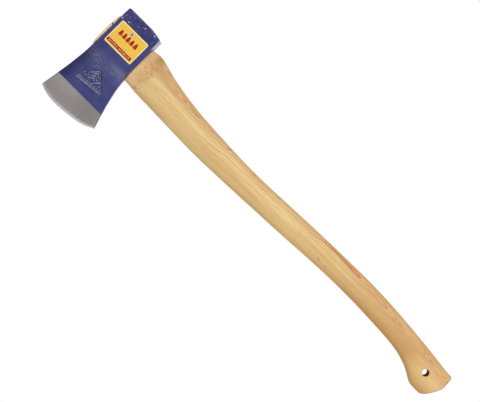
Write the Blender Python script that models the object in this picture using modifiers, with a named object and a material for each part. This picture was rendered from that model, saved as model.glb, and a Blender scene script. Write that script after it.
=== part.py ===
"""A felling axe, head up: a forged head hung on a curved wooden haft.

The origin is the centre of the eye's mouth, on the underside of the head. +Z runs up through the eye, the
cutting edge faces -X and the poll +X. The blade lies in the XZ plane, and the labelled cheek faces -Y.
Lengths are in metres.
"""

import math

import bmesh
import bpy
import numpy as np

# The whole axe
HAFT_TOP = 0.0747
HAFT_END = -0.6753
FIT_GAP = 0.0003

# The head, seen from the side
POLL_X = 0.0510
GROUND_X = -0.0961  # where the ground bit meets the painted cheek
HEEL = (-0.0205, -0.1180)  # (z, x)
TOE = (0.0843, -0.1260)
EDGE = [HEEL, (-0.0070, -0.1250), (0.0140, -0.1302), (0.0450, -0.1332), (0.0690, -0.1312), TOE]
TOP_AT_POLL = 0.0693
TOP_RISE = 0.0138  # the top climbs this much per metre of length, from the poll forwards
TOP_SWEEP = (-0.015, 0.2237, 0.106)  # start x, final slope, ease length
UNDERSIDE_SWEEP = (-0.028, 0.3745, 0.061)

# The head, seen from above (half thicknesses)
CHEEK = 0.0150
CHEEK_FLAT_X = -0.016  # the cheek is flat behind this
CHEEK_DROP = 0.0110
CHEEK_EASE = 0.028
CHEEK_CROWN = 0.0006
POLL_TAPER_X = 0.036
POLL_TAPER = 0.0008
CORNER = 0.0021
POLL_ROUND = 0.0021
POLL_CROWN_LOW = (0.028, 0.0042)  # below this z the poll face leans back by up to this much
POLL_CROWN_HIGH = (0.061, 0.0007)

# The ground bit
GROUND_STEP = 0.0002
GROUND_BULGE = 0.0004
EDGE_HALF = 0.00015
HONE_HALF = 0.0012
HONE_SHARE = 0.12  # the honed band's share of the way from the edge to the painted cheek

# The eye
EYE_LEAN = 0.0386
EYE_HALF_LENGTH = (0.0282, 0.021)  # at the mouth, and how it grows with height
EYE_HALF_WIDTH = (0.0097, 0.010)
EYE_POWER = 2.3

# The haft: (z, x) of its front and back outlines, and (z, y) of its half thickness
FRONT = [
    (-0.6544, -0.0532), (-0.6440, -0.0532), (-0.6355, -0.0522), (-0.6270, -0.0488), (-0.6117, -0.0407),
    (-0.5960, -0.0346), (-0.5736, -0.0302), (-0.5430, -0.0279), (-0.4900, -0.0258), (-0.4210, -0.0264),
    (-0.3294, -0.0314), (-0.2378, -0.0356), (-0.1380, -0.0382), (-0.0547, -0.0360), (-0.0240, -0.0351),
    (-0.0089, -0.0337), (0.0, -0.0327),
]
BACK = [
    (-0.6650, -0.0005), (-0.6346, 0.0033), (-0.5888, 0.0079), (-0.5430, 0.0117), (-0.4820, 0.0140),
    (-0.4210, 0.0132), (-0.3294, 0.0102), (-0.2378, 0.0072), (-0.1615, 0.0098), (-0.1157, 0.0129),
    (-0.0850, 0.0171), (-0.0547, 0.0225), (-0.0394, 0.0264), (-0.0260, 0.0300), (-0.0170, 0.0315),
    (-0.0080, 0.0309), (0.0, 0.0297),
]
HALF_THICKNESS = [
    (-0.6700, 0.0134), (-0.6300, 0.0136), (-0.5700, 0.0128), (-0.4500, 0.0121), (-0.3000, 0.0117),
    (-0.1500, 0.0120), (-0.0500, 0.0129), (-0.0280, 0.0127), (-0.0140, 0.0112), (0.0, 0.0107),
]
HAFT_POWER = 2.35
SHOULDER_INSET = 0.0009
KNOB_TILT_FROM = -0.600
KNOB_TOE_X = -0.0500
KNOB_HEEL_X = -0.0230  # the end is flat behind this, and curves up to the front ahead of it
KNOB_SLOPE = 0.34
KNOB_CURVE = 7.5
KNOB_ROUND = 0.0035
HOLE_AT = (-0.0243, -0.6391)
HOLE_RADIUS = 0.0056

# The wedges, and the label
KERF_FOOT = 0.020
KERF_WIDTHS = (0.0012, 0.0066)  # at the foot and at the top
CROSS_X = 0.0148
CROSS_FOOT = 0.048
CROSS_THICKNESSES = (0.0005, 0.0020)
CROSS_WIDTH = 0.0168
LABEL_CENTRE = (0.0093, 0.0357)
LABEL_SIZE = (0.0412, 0.0549)
LABEL_THICKNESS = 0.0004
LABEL_CORNER = 0.0025


def spline(knots):
    """The natural cubic spline through (at, value) knots, as a function."""
    at, value = np.array(sorted(knots)).T
    width = np.diff(at)
    slope = np.diff(value) / width
    system = np.eye(len(at))
    for i in range(1, len(at) - 1):
        system[i, i - 1 : i + 2] = width[i - 1], 2 * (width[i - 1] + width[i]), width[i]
    bend = np.linalg.solve(system, np.concatenate([[0], 6 * np.diff(slope), [0]]))

    def read(where):
        i = int(np.clip(np.searchsorted(at, where) - 1, 0, len(at) - 2))
        before = (where - at[i]) / width[i]
        after = 1 - before
        curve = bend[i] * (after**3 - after) + bend[i + 1] * (before**3 - before)
        return float(after * value[i] + before * value[i + 1] + curve * width[i] ** 2 / 6)

    return read


def sweep(x, start, slope, ease):
    """A curve that leaves zero smoothly ahead of start and nears a straight slope."""
    ahead = max(0.0, start - x)
    return slope * ahead**2 / (ahead + ease)


def mix(a, b, share):
    return a + (b - a) * share


def loft(name, rings):
    """A closed solid through rings of points. Each ring starts on the XZ plane and is alike either side of it."""
    bm = bmesh.new()
    rows = [[bm.verts.new(point) for point in ring] for ring in rings]
    count = len(rows[0])
    for low, high in zip(rows, rows[1:]):
        for i in range(count):
            j = (i + 1) % count
            bm.faces.new((low[i], low[j], high[j], high[i]))
    for row in (rows[0], rows[-1]):
        for i in range(count // 2):
            corners = [row[i], row[i + 1], row[-i - 1], row[-i]]
            bm.faces.new(list(dict.fromkeys(corners)))
    return finish(name, bm)


def finish(name, bm):
    bmesh.ops.remove_doubles(bm, verts=bm.verts, dist=1e-7)
    bmesh.ops.recalc_face_normals(bm, faces=bm.faces)
    mesh = bpy.data.meshes.new(name)
    bm.to_mesh(mesh)
    bm.free()
    return bpy.data.objects.new(name, mesh)


def oval(z, half_length, half_width, centre, power, count=40):
    """A ring at height z, from its front end round by -Y to the back and home by +Y."""
    ring = []
    for i in range(count):
        angle = 2 * math.pi * i / count
        c = -math.cos(angle)
        s = -math.sin(angle)
        x = math.copysign(abs(c) ** (2 / power), c)
        y = math.copysign(abs(s) ** (2 / power), s) if i % (count // 2) else 0.0
        ring.append((centre + half_length * x, half_width * y, z))
    return ring


def eye_ring(z, shrink):
    half_length = EYE_HALF_LENGTH[0] + EYE_HALF_LENGTH[1] * z - shrink
    half_width = EYE_HALF_WIDTH[0] + EYE_HALF_WIDTH[1] * z - shrink
    return oval(z, half_length, half_width, EYE_LEAN * z, EYE_POWER)


def tapered_block(name, foot, top, z_foot, z_top, centre_x=0.0):
    """A block whose foot and top are (length along X, width along Y)."""
    bm = bmesh.new()
    bmesh.ops.create_cube(bm, size=1)
    for vert in bm.verts:
        length, width = top if vert.co.z > 0 else foot
        z = z_top if vert.co.z > 0 else z_foot
        vert.co = (centre_x + vert.co.x * length, vert.co.y * width, z)
    return finish(name, bm)


def add_boolean(obj, other, operation):
    modifier = obj.modifiers.new(other.name, "BOOLEAN")
    modifier.operation = operation
    modifier.object = other


# ---------------------------------------------------------------- the head

edge_x = spline(EDGE)


def head_top(x):
    return TOP_AT_POLL + TOP_RISE * (POLL_X - x) + sweep(x, *TOP_SWEEP)


def head_underside(x):
    return -sweep(x, *UNDERSIDE_SWEEP)


def cheek_drop(x):
    ahead = max(0.0, CHEEK_FLAT_X - x)
    return CHEEK_DROP * ahead**2 / (ahead**2 + CHEEK_EASE**2)


def cheek_half(x, height):
    """Half the head's thickness at x, where height runs from 0 at the underside to 1 at the top."""
    behind = max(0.0, (x - POLL_TAPER_X) / (POLL_X - POLL_TAPER_X))
    crown = CHEEK_CROWN * cheek_drop(x) / CHEEK_DROP * (2 * height - 1) ** 2
    return CHEEK - cheek_drop(x) - POLL_TAPER * behind**2 - crown


def poll_lean(z):
    """How far the poll face stands back from its flat middle at height z."""
    low_z, low_depth = POLL_CROWN_LOW
    high_z, high_depth = POLL_CROWN_HIGH
    low = max(0.0, (low_z - z) / low_z)
    high = max(0.0, (z - high_z) / (TOP_AT_POLL - high_z))
    return low_depth * low**2 + high_depth * high**2


def half_section(half, low, high, corner, cheek_steps=8):
    """(y, z, height) round the -Y half of a section, from the middle of its underside to that of its top."""
    corner = min(corner, 0.6 * half)
    points = [(0.0, low)]
    for angle in (0, 30, 60, 90):
        turn = math.radians(angle)
        points.append((half - corner + corner * math.sin(turn), low + corner * (1 - math.cos(turn))))
    for step in range(1, cheek_steps):
        points.append((half, mix(low + corner, high - corner, step / cheek_steps)))
    for angle in (90, 60, 30, 0):
        turn = math.radians(angle)
        points.append((half - corner + corner * math.sin(turn), high - corner * (1 - math.cos(turn))))
    points.append((0.0, high))
    return [(-y, z, (z - low) / (high - low)) for y, z in points]


def cheek_station(x, inset=0.0):
    """One ring of the painted part of the head, drawn in by inset as the poll's edge rounds over."""
    half = cheek_half(x, 0.5) - inset
    ring = []
    for y, z, height in half_section(half, head_underside(x) + inset, head_top(x) - inset, CORNER):
        crown = cheek_half(x, height) - cheek_half(x, 0.5)
        back = max(0.0, (x - POLL_TAPER_X) / (POLL_X - POLL_TAPER_X)) ** 2
        y -= crown * abs(y) / half
        ring.append((x - back * poll_lean(z), y, z))
    return ring


def bit_station(share, half):
    """One ring of the ground bit, at a share of the way from the cutting edge to the painted cheek."""
    ring = []
    low, high = head_underside(GROUND_X), head_top(GROUND_X)
    for y, z, height in half_section(half, low, high, CORNER * share):
        edge_z = mix(HEEL[0], TOE[0], height)
        crown = (cheek_half(GROUND_X, height) - cheek_half(GROUND_X, 0.5)) * share
        y -= crown * abs(y) / half
        ring.append((mix(edge_x(edge_z), GROUND_X, share), y, mix(edge_z, z, share)))
    return ring


def bit_half(share):
    """Half the thickness of the ground bit: a steeper honed band, then a slightly bulging grind."""
    if share <= HONE_SHARE:
        return mix(EDGE_HALF, HONE_HALF, share / HONE_SHARE)
    along = (share - HONE_SHARE) / (1 - HONE_SHARE)
    full = cheek_half(GROUND_X, 0.5) - GROUND_STEP
    return mix(HONE_HALF, full, along) + GROUND_BULGE * 4 * along * (1 - along)


def make_head():
    """The forging: the -Y half is lofted and mirrored, and the eye is cut through it."""
    rings = [bit_station(share, bit_half(share)) for share in (0, HONE_SHARE, 0.3, 0.5, 0.7, 0.85, 1)]
    rings += [cheek_station(x) for x in np.linspace(GROUND_X + 0.0001, CHEEK_FLAT_X, 16)]
    rings += [cheek_station(x) for x in (0.01, POLL_TAPER_X, 0.042)]
    for angle in (0, 30, 60, 90):
        turn = math.radians(angle)
        x = POLL_X - POLL_ROUND * (1 - math.sin(turn))
        rings.append(cheek_station(x, POLL_ROUND * (1 - math.cos(turn))))
    for end, place in ((rings[0], 0), (rings[-1], len(rings) + 1)):
        rings.insert(place, [(x, 0.0, z) for x, y, z in end])
    bm = bmesh.new()
    rows = [[bm.verts.new(point) for point in ring] for ring in rings]
    for row, following in zip(rows, rows[1:]):
        for i in range(len(row) - 1):
            bm.faces.new((row[i], row[i + 1], following[i + 1], following[i]))
    head = finish("axe_head", bm)
    mirror = head.modifiers.new("other_cheek", "MIRROR")
    mirror.use_axis = (False, True, False)
    mirror.merge_threshold = 0.00001
    cutter = loft("eye_cutter", [eye_ring(-0.004, 0), eye_ring(HAFT_TOP + 0.002, 0)])
    add_boolean(head, cutter, "DIFFERENCE")
    return head, [cutter]


# ---------------------------------------------------------------- the haft

front_outline = spline(FRONT)
back_outline = spline(BACK)
half_thickness = spline(HALF_THICKNESS)


def knob_floor(x):
    """The height of the knob's end face at x: flat at the back, and curving up towards the front."""
    ahead = max(0.0, KNOB_HEEL_X - x)
    return HAFT_END + KNOB_SLOPE * ahead + KNOB_CURVE * ahead**2


def haft_ring(z, inset=0.0):
    """A section of the haft. Below KNOB_TILT_FROM it leans little by little into the shape of the end face."""
    share = max(0.0, (KNOB_TILT_FROM - z) / (KNOB_TILT_FROM - HAFT_END))

    def drop(x):
        return mix(KNOB_TILT_FROM, knob_floor(x), share) if share else z

    front = front_outline(max(drop(KNOB_TOE_X), FRONT[0][0])) + inset
    back = back_outline(max(drop(0.0), BACK[0][0])) - inset
    half = half_thickness(z) - inset
    ring = oval(z, (back - front) / 2, half, (back + front) / 2, HAFT_POWER)
    return [(x, y, drop(x)) for x, y, _ in ring]


def make_haft():
    """The haft: its grip, knob and tongue are one loft, then the kerf and the hanging hole are cut."""
    rings = []
    for angle in (90, 60, 30, 0):
        turn = math.radians(angle)
        lift = KNOB_ROUND * (1 - math.sin(turn))
        ring = haft_ring(HAFT_END, KNOB_ROUND * (1 - math.cos(turn)))
        rings.append([(x, y, z + lift) for x, y, z in ring])
    rings += [haft_ring(z) for z in np.linspace(HAFT_END + 0.007, KNOB_TILT_FROM, 9)]
    rings += [haft_ring(z) for z in np.linspace(KNOB_TILT_FROM, -0.048, 30)[1:]]
    rings += [haft_ring(z) for z in (-0.038, -0.030, -0.024, -0.020, -0.017, -0.014, -0.009, -0.0016)]
    rings.append(haft_ring(-FIT_GAP, SHOULDER_INSET))
    rings += [eye_ring(z, FIT_GAP) for z in (-FIT_GAP, HAFT_TOP - 0.0008)]
    top = eye_ring(HAFT_TOP, FIT_GAP + 0.0008)
    rings.append(top)
    haft = loft("haft", rings)

    wide = [width + 2 * FIT_GAP for width in KERF_WIDTHS]
    kerf = tapered_block("kerf_cutter", (0.09, wide[0]), (0.09, wide[1]), KERF_FOOT, HAFT_TOP + 0.0002)
    for vert in kerf.data.vertices:
        if vert.co.z > HAFT_TOP:
            vert.co.z = HAFT_TOP + 0.003
    add_boolean(haft, kerf, "DIFFERENCE")
    slot = cross_block("cross_slot_cutter", FIT_GAP, 0.03, 0.004)
    add_boolean(haft, slot, "DIFFERENCE")

    bm = bmesh.new()
    bmesh.ops.create_cone(bm, cap_ends=True, segments=32, radius1=HOLE_RADIUS, radius2=HOLE_RADIUS, depth=0.04)
    hole = finish("hole_cutter", bm)
    hole.rotation_euler.x = math.pi / 2
    hole.location = (HOLE_AT[0], 0, HOLE_AT[1])
    add_boolean(haft, hole, "DIFFERENCE")
    return haft, [kerf, slot, hole]


# ---------------------------------------------------------------- the wedges and the label


def cross_block(name, gap, width, above):
    """The steel wedge's shape, grown by gap all round, this wide along Y and reaching this far above the haft."""
    foot, top = (thickness + 2 * gap for thickness in CROSS_THICKNESSES)
    return tapered_block(name, (foot, width), (top, width), CROSS_FOOT - gap, HAFT_TOP + above, CROSS_X)


def make_kerf_wedge():
    """The wooden wedge, whose ends are cut to the oval of the eye."""
    wedge = tapered_block(
        "kerf_wedge", (0.08, KERF_WIDTHS[0]), (0.08, KERF_WIDTHS[1]), KERF_FOOT + FIT_GAP, HAFT_TOP - 0.0002
    )
    guide = loft("tongue_guide", [eye_ring(0.0, FIT_GAP), eye_ring(HAFT_TOP + 0.003, FIT_GAP)])
    slot = cross_block("wedge_slot_cutter", FIT_GAP, 0.03, 0.004)
    add_boolean(wedge, guide, "INTERSECT")
    add_boolean(wedge, slot, "DIFFERENCE")
    return wedge, [guide, slot]


def make_label():
    """The sticker: a thin sheet with rounded corners, just off the flat of the -Y cheek."""
    bm = bmesh.new()
    bmesh.ops.create_grid(bm, x_segments=1, y_segments=1, size=0.5)
    for vert in bm.verts:
        x = LABEL_CENTRE[0] + vert.co.x * LABEL_SIZE[0]
        vert.co = (x, -CHEEK - FIT_GAP, LABEL_CENTRE[1] + vert.co.y * LABEL_SIZE[1])
    bmesh.ops.bevel(bm, geom=bm.verts, offset=LABEL_CORNER, segments=6, affect="VERTICES", profile=0.5)
    label = finish("label", bm)
    sheet = label.modifiers.new("thickness", "SOLIDIFY")
    sheet.thickness = LABEL_THICKNESS
    sheet.offset = 1 if label.data.polygons[0].normal.y < 0 else -1
    return label


def paint(obj, colour, roughness, metallic=0.0):
    material = bpy.data.materials.new(obj.name)
    material.use_nodes = True
    shader = material.node_tree.nodes["Principled BSDF"]
    shader.inputs["Base Color"].default_value = (*colour, 1)
    shader.inputs["Roughness"].default_value = roughness
    shader.inputs["Metallic"].default_value = metallic
    obj.data.materials.append(material)


def main():
    for obj in list(bpy.data.objects):
        bpy.data.objects.remove(obj, do_unlink=True)
    parts = bpy.data.collections.new("felling_axe")
    cutters = bpy.data.collections.new("cutters")
    bpy.context.scene.collection.children.link(parts)
    bpy.context.scene.collection.children.link(cutters)

    head, helpers = make_head()
    haft, more = make_haft()
    helpers += more
    kerf_wedge, more = make_kerf_wedge()
    helpers += more
    cross_wedge = cross_block("cross_wedge", 0.0, CROSS_WIDTH, -0.0003)
    label = make_label()

    paint(head, (0.055, 0.055, 0.19), 0.45)
    paint(haft, (0.70, 0.46, 0.21), 0.5)
    paint(kerf_wedge, (0.62, 0.38, 0.17), 0.6)
    paint(cross_wedge, (0.20, 0.19, 0.18), 0.4, 1.0)
    paint(label, (0.85, 0.51, 0.06), 0.35)
    for obj in (head, haft, kerf_wedge, cross_wedge, label):
        obj.data.shade_smooth()
        obj.data.set_sharp_from_angle(angle=math.radians(35))
        parts.objects.link(obj)
    for obj in helpers:
        obj.hide_render = True
        obj.display_type = "WIRE"
        cutters.objects.link(obj)


main()
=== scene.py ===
"""The looks of a felling axe: its forged and painted head, its wooden haft, its wedges and its label.

The row frame is in metres: +Z up through the eye, the cutting edge towards -X, the poll towards +X, and the
labelled cheek towards -Y. Each solid of the frame is replaced by a finer mesh of the same shape, which adds
what the frame leaves out: the forged and stamped surface, the ground bit, tool marks, the print of the label.
"""

import math

import bmesh
import bpy
import numpy as np
from mathutils import Matrix, Vector, geometry, noise


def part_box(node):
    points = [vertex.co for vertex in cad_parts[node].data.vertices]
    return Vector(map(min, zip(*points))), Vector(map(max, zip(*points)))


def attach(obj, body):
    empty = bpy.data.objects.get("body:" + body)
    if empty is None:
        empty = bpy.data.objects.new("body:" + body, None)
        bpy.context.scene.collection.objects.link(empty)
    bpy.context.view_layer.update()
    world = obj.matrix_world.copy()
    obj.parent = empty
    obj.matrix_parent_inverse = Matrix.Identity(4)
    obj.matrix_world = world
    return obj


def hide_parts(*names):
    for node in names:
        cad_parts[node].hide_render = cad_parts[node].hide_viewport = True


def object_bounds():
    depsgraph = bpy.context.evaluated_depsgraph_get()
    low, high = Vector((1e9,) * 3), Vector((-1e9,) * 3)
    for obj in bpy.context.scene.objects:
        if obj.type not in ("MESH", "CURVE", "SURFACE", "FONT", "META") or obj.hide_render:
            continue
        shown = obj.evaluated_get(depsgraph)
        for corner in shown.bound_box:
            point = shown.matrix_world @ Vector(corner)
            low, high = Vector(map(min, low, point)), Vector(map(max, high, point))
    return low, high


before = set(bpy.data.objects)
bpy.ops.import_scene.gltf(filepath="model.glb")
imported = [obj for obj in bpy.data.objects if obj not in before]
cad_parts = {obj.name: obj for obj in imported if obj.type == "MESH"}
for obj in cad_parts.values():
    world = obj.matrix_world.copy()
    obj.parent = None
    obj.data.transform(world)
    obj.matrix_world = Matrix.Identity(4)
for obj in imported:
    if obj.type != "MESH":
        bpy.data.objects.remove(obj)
cad_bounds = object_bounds()

MM = 0.001
head_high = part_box("axe_head")[1]
haft_low, haft_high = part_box("haft")
label_low, label_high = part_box("label")
cross_low, cross_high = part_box("cross_wedge")
kerf_low, kerf_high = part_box("kerf_wedge")

# The head's outline, as the frame has it. Points of the edge are (z, x), a sweep along -X is (start, slope,
# ease), and the poll's crown is (z where it starts, depth) below and above
POLL_X = head_high.x
CHEEK = head_high.y
GROUND_X = -0.0961
HEEL = (-0.0205, -0.118)
TOE = (0.0843, -0.126)
EDGE = [HEEL, (-0.007, -0.125), (0.014, -0.1302), (0.045, -0.1332), (0.069, -0.1312), TOE]
TOP_AT_POLL = 0.0693
TOP_RISE = 0.0138
TOP_SWEEP = (-0.015, 0.2237, 0.106)
UNDERSIDE_SWEEP = (-0.028, 0.3745, 0.061)
CHEEK_FLAT_X = -0.016
CHEEK_DROP = 0.011
CHEEK_EASE = 0.028
CHEEK_CROWN = 0.0006
POLL_TAPER_X = 0.036
POLL_TAPER = 0.0008
CORNER = 0.0021
POLL_ROUND = 0.0021
POLL_CROWN_LOW = (0.028, 0.0042)
POLL_CROWN_HIGH = (0.061, 0.0007)
POLL_RINGS = 14

# The ground bit. Shares are of the way from the edge to the paint. Over the honed strip half the width falls
# from HONE_HALF towards EDGE_HALF, and the edge itself is a line
GROUND_STEP = 0.0002
GROUND_BULGE = 0.0004
EDGE_HALF = 0.00015
HONE_HALF = 0.0012
HONE_SHARE = 0.12
BIT_SPACING = 0.03

# How high the forged skin may stand from x = 0 back, where most of the label lies over it
HIGHEST_BY_LABEL = 0.0002

# The eye
EYE_LEAN = 0.0386
EYE_HALF_LENGTH = (0.0282, 0.021)
EYE_HALF_WIDTH = (0.0097, 0.01)
EYE_POWER = 2.3

# The haft. Its outlines are (z, x), its half thickness is (z, y), and HAFT_COUNT points go round it
HAFT_COUNT = 128
HAFT_TOP = haft_high.z
HAFT_END = haft_low.z
FRONT = [
    (-0.6544, -0.0532), (-0.644, -0.0532), (-0.6355, -0.0522), (-0.627, -0.0488), (-0.6117, -0.0407),
    (-0.596, -0.0346), (-0.5736, -0.0302), (-0.543, -0.0279), (-0.49, -0.0258), (-0.421, -0.0264),
    (-0.3294, -0.0314), (-0.2378, -0.0356), (-0.138, -0.0382), (-0.0547, -0.036), (-0.024, -0.0351),
    (-0.0089, -0.0337), (0.0, -0.0327),
]
BACK = [
    (-0.665, -0.0005), (-0.6346, 0.0033), (-0.5888, 0.0079), (-0.543, 0.0117), (-0.482, 0.014),
    (-0.421, 0.0132), (-0.3294, 0.0102), (-0.2378, 0.0072), (-0.1615, 0.0098), (-0.1157, 0.0129),
    (-0.085, 0.0171), (-0.0547, 0.0225), (-0.0394, 0.0264), (-0.026, 0.03), (-0.017, 0.0315),
    (-0.008, 0.0309), (0.0, 0.0297),
]
HALF_THICKNESS = [
    (-0.67, 0.0134), (-0.63, 0.0136), (-0.57, 0.0128), (-0.45, 0.0121), (-0.3, 0.0117),
    (-0.15, 0.012), (-0.05, 0.0129), (-0.028, 0.0127), (-0.014, 0.0112), (0.0, 0.0107),
]
HAFT_POWER = 2.35
KNOB_TILT_FROM = -0.6
KNOB_TOE_X = -0.05
KNOB_HEEL_X = -0.023
KNOB_SLOPE = 0.34
KNOB_CURVE = 7.5
KNOB_ROUND = 0.0035
SHOULDER_FROM = -0.0016
SHOULDER_ROUND = 0.0013
TONGUE_ROUND = 0.001
HOLE_AT = (-0.0243, -0.6391)
HOLE_RADIUS = 0.0056

# How the wood grew. At these heights the pith runs so many millimetres inside the back of the haft, near its
# -Y face, and the rings are so many millimetres narrower than at the knob. Their width and its unevenness are
# in millimetres too.
PITH_INSIDE = [
    (-0.675, 10.0), (-0.6, 10.0), (-0.53, 9.0), (-0.44, 4.0), (-0.36, -1.5), (-0.28, -3.0),
    (-0.2, -1.0), (-0.13, 4.0), (-0.06, 9.0), (0.0, 15.0), (0.08, 18.0),
]
PITH_Y = -10.8
RING_TAPER = [(-0.675, 0.0), (-0.58, 20.0), (-0.48, 38.0), (-0.35, 48.0), (-0.12, 60.0), (0.08, 84.0)]
RING_WIDTH = 3.5
RING_PHASE = 0.6
RING_UNEVEN = 4.5
RING_WAVE = 11.0

# The struck mark on the -Y cheek: (x, z) of its middle, its half diagonal, and the bar ahead of it
STAMP_CENTRE = (-0.0612, 0.033)
STAMP_HALF = 0.0122
BAR_ENDS = ((-0.0785, 0.0545), (-0.0747, 0.0106))
BAR_TEETH = 9

# Chips in the enamel beside the label: (x, z, radius)
CHIPS = [
    (0.0318, 0.0662, 0.0011), (0.034, 0.0545, 0.001), (0.0445, 0.03, 0.0008), (0.0462, 0.012, 0.001),
]

# The wedges and the label
KERF_FOOT_WIDTH = 0.0012
KERF_TOP_WIDTH = kerf_high.y - kerf_low.y
CROSS_X = (cross_low.x + cross_high.x) / 2
CROSS_SHANK_TOP = 0.0712
LABEL_CENTRE = ((label_low.x + label_high.x) / 2, (label_low.z + label_high.z) / 2)
LABEL_HALF_WIDE = (label_high.z - label_low.z) / 2 / MM
LABEL_HALF_HIGH = (label_high.x - label_low.x) / 2 / MM
LABEL_THICKNESS = 0.00014

# The studio and the camera. The floor fades to white between these distances from its middle, in millimetres
FLOOR_Z = cad_bounds[0].z - 0.27
FLOOR_RADIUS = 0.9
FLOOR_FADE = (300.0, 880.0)
STUDIO_LEVEL = 0.52
STUDIO_TILT = (0.06, 0.16, 0.0)
VIEW_CENTRE = (-0.0389, -0.2559)
VIEW_DISTANCE = 2.106
LENS = 103.5


def srgb(red, green, blue):
    """A colour given as 0 to 255 on a screen, in the linear values that a shader takes."""
    tones = (red, green, blue)
    return tuple(((c / 255 + 0.055) / 1.055) ** 2.4 if c > 10 else c / 255 / 12.92 for c in tones)


PAINT = srgb(62, 65, 122)
PAINT_DEEP = srgb(52, 56, 114)
PAINT_THIN = srgb(92, 94, 142)
# the next tone is scuffed enamel and painted glints
PAINT_SCUFFED_AND_LIT = srgb(84, 82, 160)
# the next tone is worn enamel and painted highlights
PAINT_WORN_AND_LIT = srgb(206, 204, 222)
# the next tone is chipped enamel and painted glints
PAINT_CHIPPED_AND_GLINT = srgb(196, 196, 214)
# the next tone is pooled enamel and painted shade
PAINT_POOLED_AND_SHADED = srgb(24, 28, 80)
STEEL = srgb(176, 168, 169)
STEEL_DARK = srgb(152, 145, 146)
STEEL_BAND = srgb(160, 152, 153)
# the next tone is painted shade on the ground bit
STEEL_SHADE = srgb(136, 129, 130)
STEEL_BRIGHT = srgb(194, 187, 190)
WOOD_PALE = srgb(244, 217, 158)
WOOD_TAN = srgb(206, 165, 103)
WOOD_HEART = srgb(201, 152, 98)
WOOD_LINE = srgb(180, 106, 66)
WOOD_DARK = srgb(140, 92, 52)
WOOD_RAW = srgb(228, 190, 142)
# the next tone is handling and painted shade on the lower haft
WOOD_HANDLED_AND_SHADED = srgb(190, 138, 78)
WOOD_END = srgb(168, 112, 62)
# the next tone is painted light on the tongue
WOOD_LIT_TOP = srgb(250, 216, 170)
WEDGE_PALE = srgb(190, 148, 100)
WEDGE_TAN = srgb(160, 118, 74)
HONED_TONES = (srgb(150, 146, 147), srgb(176, 172, 173))
BARE_TONES = (srgb(60, 56, 54), srgb(112, 106, 103))
WEDGE_TONES = (srgb(96, 66, 42), srgb(158, 120, 88))
HOLE_WALL_TONES = (srgb(88, 52, 22), srgb(140, 92, 46))
LABEL_DUST = srgb(244, 238, 224)
INKS = {
    "cream": srgb(252, 240, 172), "yellow": srgb(247, 197, 70), "red": srgb(168, 10, 4),
    "grey": srgb(214, 196, 146), "brown": srgb(170, 104, 52), "pale": srgb(226, 190, 140),
}


# ---------------- small helpers


def spline(knots):
    """The natural cubic spline through (at, value) knots, as a function of a number or an array."""
    at, value = np.array(sorted(knots)).T
    width = np.diff(at)
    slope = np.diff(value) / width
    system = np.eye(len(at))
    for i in range(1, len(at) - 1):
        system[i, i - 1 : i + 2] = width[i - 1], 2 * (width[i - 1] + width[i]), width[i]
    bend = np.linalg.solve(system, np.concatenate([[0], 6 * np.diff(slope), [0]]))

    def read(where):
        i = np.clip(np.searchsorted(at, where) - 1, 0, len(at) - 2)
        before = (where - at[i]) / width[i]
        after = 1 - before
        curve = bend[i] * (after**3 - after) + bend[i + 1] * (before**3 - before)
        return after * value[i] + before * value[i + 1] + curve * width[i] ** 2 / 6

    return read


def sweep(x, start, slope, ease):
    """A curve that leaves zero ahead of start and tends to this slope."""
    ahead = np.maximum(0.0, start - x)
    return slope * ahead**2 / (ahead + ease)


def mix(a, b, share):
    return a + (b - a) * share


def smooth(low, high, value):
    """0 below low, 1 above high, and a smooth rise between them."""
    share = np.clip((value - low) / (high - low), 0, 1)
    return share * share * (3 - 2 * share)


def grain(points, size, seed=0.0, octaves=1):
    """Perlin noise of this feature size at an (n, 3) array of points, from about -1 to 1."""
    offset = Vector((seed, 2 * seed + 7.3, 5.1 - seed))
    scaled = points / np.broadcast_to(size, 3)
    if octaves == 1:
        values = [noise.noise(Vector(p) + offset) for p in scaled]
    else:
        values = [noise.fractal(Vector(p) + offset, 1.0, 2.1, octaves) for p in scaled]
    return np.array(values)


def bell(away, width):
    return np.exp(-((away / width) ** 2))


def quarter_turn(count):
    """(sine, one less the cosine) of count angles from 0 to 90 degrees."""
    return [(math.sin(turn), 1 - math.cos(turn)) for turn in np.linspace(0, math.pi / 2, count)]


def spaced(*stretches):
    """Increasing values through stretches of (start, end, step)."""
    values = []
    for start, end, step in stretches:
        count = max(1, round(abs(end - start) / step))
        values += list(np.linspace(start, end, count, endpoint=False))
    return np.array(values + [stretches[-1][1]])


def linked(name, data):
    """A new object with this data, in the scene."""
    obj = bpy.data.objects.new(name, data)
    bpy.context.scene.collection.objects.link(obj)
    return obj


def mesh_of(name, points, faces, materials=()):
    mesh = bpy.data.meshes.new(name)
    mesh.from_pydata(points.reshape(-1, 3).tolist(), [], faces)
    for material in materials:
        mesh.materials.append(material)
    return linked(name, mesh)


def ring_faces(rows, count):
    """Quads that join closed rings of count points each."""
    faces = []
    for row in range(rows - 1):
        low = row * count
        high = low + count
        for i in range(count):
            j = (i + 1) % count
            faces.append((low + i, low + j, high + j, high + i))
    return faces


def cleaned(obj):
    """Merges the points that coincide, and turns the faces outwards."""
    bm = bmesh.new()
    bm.from_mesh(obj.data)
    bmesh.ops.remove_doubles(bm, verts=bm.verts, dist=1e-7)
    bmesh.ops.recalc_face_normals(bm, faces=bm.faces)
    bm.to_mesh(obj.data)
    bm.free()
    return obj


def push(obj, amount):
    """Moves each point along its normal by amount(points, normals)."""
    points, normals = surface(obj)
    points += normals * amount(points, normals)[:, None]
    obj.data.vertices.foreach_set("co", points.astype(np.float32).ravel())
    obj.data.update()


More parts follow.
